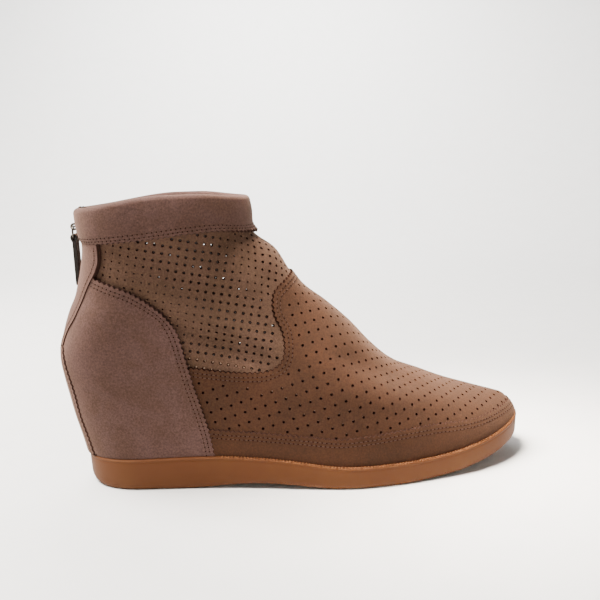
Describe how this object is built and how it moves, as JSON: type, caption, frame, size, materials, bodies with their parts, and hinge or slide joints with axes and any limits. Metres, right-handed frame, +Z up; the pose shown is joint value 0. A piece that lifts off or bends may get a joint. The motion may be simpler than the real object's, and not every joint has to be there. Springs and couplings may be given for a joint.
{
  "type": "wedge ankle boot",
  "caption": "Right suede ankle boot with a hidden wedge, perforated quarter and vamp, turned collar cuff, gum rubber sole and a back zip with a swinging pull.",
  "frame": {"origin": "on the ground, on the flat of the sole under the middle of the heel seat", "axes": "+X to the toe, +Y to the inner side of the foot, +Z up"},
  "size_m": [0.2693, 0.0897, 0.163],
  "materials": {
    "gum_rubber": "moulded gum rubber, satin",
    "wedge_board": "wedge block, covered by the upper",
    "insole_leather": "smooth lining leather",
    "quarter_suede": "perforated suede",
    "vamp_suede": "suede, warm brown",
    "heel_suede": "suede, greyer taupe",
    "zip_cloth": "woven zip tape",
    "zip_metal": "dull nickel plate"
  },
  "bodies": {
    "boot": {"outsole": "gum_rubber", "heel_wedge": "wedge_board", "insole": "insole_leather", "upper": "quarter_suede", "vamp": "vamp_suede", "foxing": "vamp_suede", "heel_panel_outer": "heel_suede", "heel_panel_inner": "heel_suede", "back_stay_outer": "heel_suede", "back_stay_inner": "heel_suede", "back_stay_lower": "heel_suede", "collar_cuff": "heel_suede", "zip_tape": "zip_cloth", "zip_slider": "zip_metal"},
    "zip_pull": {"pull_ring": "zip_metal", "pull_tab": "vamp_suede"}
  },
  "joints": [
    {"name": "pull_swing", "type": "hinge", "parent": "boot", "child": "zip_pull", "pos_m": [-0.02827, 0, 0.1465], "axis": [0, 1, 0], "range_deg": [0, 150]}
  ]
}
